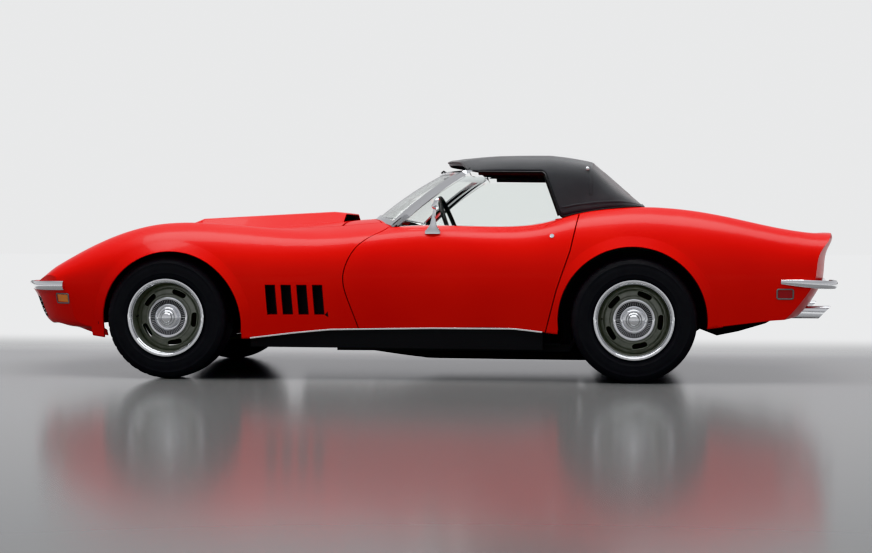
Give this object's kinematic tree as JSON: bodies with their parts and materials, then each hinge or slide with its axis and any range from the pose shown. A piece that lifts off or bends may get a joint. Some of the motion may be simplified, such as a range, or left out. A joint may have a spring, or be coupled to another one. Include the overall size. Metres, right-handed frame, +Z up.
{
  "type": "two-seat convertible car",
  "caption": "Low two-seat convertible car with its fabric top up, raised hood, swinging doors, tilting headlamp lids, steering and free-turning wheels.",
  "frame": {"origin": "on the ground under the middle of the whole car", "axes": "+X to the tail, +Y to the car's right, +Z up"},
  "size_m": [4.6381, 1.7628, 1.213],
  "materials": {
    "body_paint": "glossy red paint",
    "black_paint": "black paint",
    "black_iron": "dark cast iron",
    "steel": "plain steel",
    "chrome": "bright chrome",
    "rim_silver": "silver-grey paint",
    "tyre": "black rubber",
    "clear_glass": "clear glass",
    "clear_vinyl": "clear soft vinyl",
    "black_fabric": "black woven top fabric",
    "black_vinyl": "black vinyl",
    "amber_lens": "amber lens",
    "red_lens": "red lens",
    "black_plastic": "matt black"
  },
  "bodies": {
    "body": {"front_end": "body_paint", "rear_body": "body_paint", "wiper_panel": "body_paint", "deck_lid": "body_paint", "windscreen_frame": "chrome", "windscreen_glass": "clear_glass", "soft_top": "black_fabric", "rear_window": "clear_vinyl", "front_suspension": "black_iron", "chassis_frame": "black_paint", "drivetrain": "black_iron", "rear_suspension": "black_iron", "floor_tub": "black_plastic", "dashboard": "black_vinyl", "seats": "black_vinyl", "front_bumper": "chrome", "rear_bumpers": "chrome", "rocker_covers": "black_paint", "exhaust": "steel", "fuel_tank": "black_paint", "grille": "black_plastic", "amber_lamps": "amber_lens", "red_lamps": "red_lens"},
    "hood": {"hood": "body_paint"},
    "door_left": {"door_left": "body_paint", "door_glass_left": "clear_glass", "mirror": "chrome"},
    "door_right": {"door_right": "body_paint", "door_glass_right": "clear_glass"},
    "headlamp_left": {"headlamp_left": "body_paint"},
    "headlamp_right": {"headlamp_right": "body_paint"},
    "steering_wheel": {"steering_wheel": "black_plastic"},
    "knuckle_left": {"knuckle_left": "black_iron"},
    "knuckle_right": {"knuckle_right": "black_iron"},
    "wheel_front_left": {"tyre_front_left": "tyre", "rim_front_left": "rim_silver", "wheel_trim_front_left": "chrome"},
    "wheel_front_right": {"tyre_front_right": "tyre", "rim_front_right": "rim_silver", "wheel_trim_front_right": "chrome"},
    "wheel_rear_left": {"tyre_rear_left": "tyre", "rim_rear_left": "rim_silver", "wheel_trim_rear_left": "chrome"},
    "wheel_rear_right": {"tyre_rear_right": "tyre", "rim_rear_right": "rim_silver", "wheel_trim_rear_right": "chrome"}
  },
  "joints": [
    {"name": "hood_hinge", "type": "hinge", "parent": "body", "child": "hood", "pos_m": [-1.844, 0, 0.6], "axis": [0, -1, 0], "range_deg": [0, 50]},
    {"name": "door_left_hinge", "type": "hinge", "parent": "body", "child": "door_left", "pos_m": [-0.194, -0.8, 0.5], "axis": [0, 0, -1], "range_deg": [0, 62]},
    {"name": "door_right_hinge", "type": "hinge", "parent": "body", "child": "door_right", "pos_m": [-0.194, 0.8, 0.5], "axis": [0, 0, 1], "range_deg": [0, 62]},
    {"name": "headlamp_left_tilt", "type": "hinge", "parent": "body", "child": "headlamp_left", "pos_m": [-1.752, -0.4, 0.7], "axis": [0, 1, 0], "range_deg": [0, 42]},
    {"name": "headlamp_right_tilt", "type": "hinge", "parent": "body", "child": "headlamp_right", "pos_m": [-1.752, 0.4, 0.7], "axis": [0, 1, 0], "range_deg": [0, 42]},
    {"name": "steer_left", "type": "hinge", "parent": "body", "child": "knuckle_left", "pos_m": [-1.264, -0.6535, 0.328], "axis": [0, 0, 1], "range_deg": [-33, 33]},
    {"name": "steer_right", "type": "hinge", "parent": "body", "child": "knuckle_right", "pos_m": [-1.264, 0.6535, 0.328], "axis": [0, 0, 1], "range_deg": [-33, 33]},
    {"name": "steering_wheel_turn", "type": "hinge", "parent": "body", "child": "steering_wheel", "pos_m": [0.23, -0.366, 0.789], "axis": [0.9336, 0, 0.3584], "range_deg": [-540, 540]},
    {"name": "spin_front_left", "type": "hinge", "parent": "knuckle_left", "child": "wheel_front_left", "pos_m": [-1.264, -0.7455, 0.328], "axis": [0, 1, 0], "continuous": true},
    {"name": "spin_front_right", "type": "hinge", "parent": "knuckle_right", "child": "wheel_front_right", "pos_m": [-1.264, 0.7455, 0.328], "axis": [0, 1, 0], "continuous": true},
    {"name": "spin_rear_left", "type": "hinge", "parent": "body", "child": "wheel_rear_left", "pos_m": [1.225, -0.7545, 0.328], "axis": [0, 1, 0], "continuous": true},
    {"name": "spin_rear_right", "type": "hinge", "parent": "body", "child": "wheel_rear_right", "pos_m": [1.225, 0.7545, 0.328], "axis": [0, 1, 0], "continuous": true}
  ],
  "couplings": [
    {"joint": "steer_right", "follows": "steer_left", "ratio": 1},
    {"joint": "steering_wheel_turn", "follows": "steer_left", "ratio": 16}
  ]
}
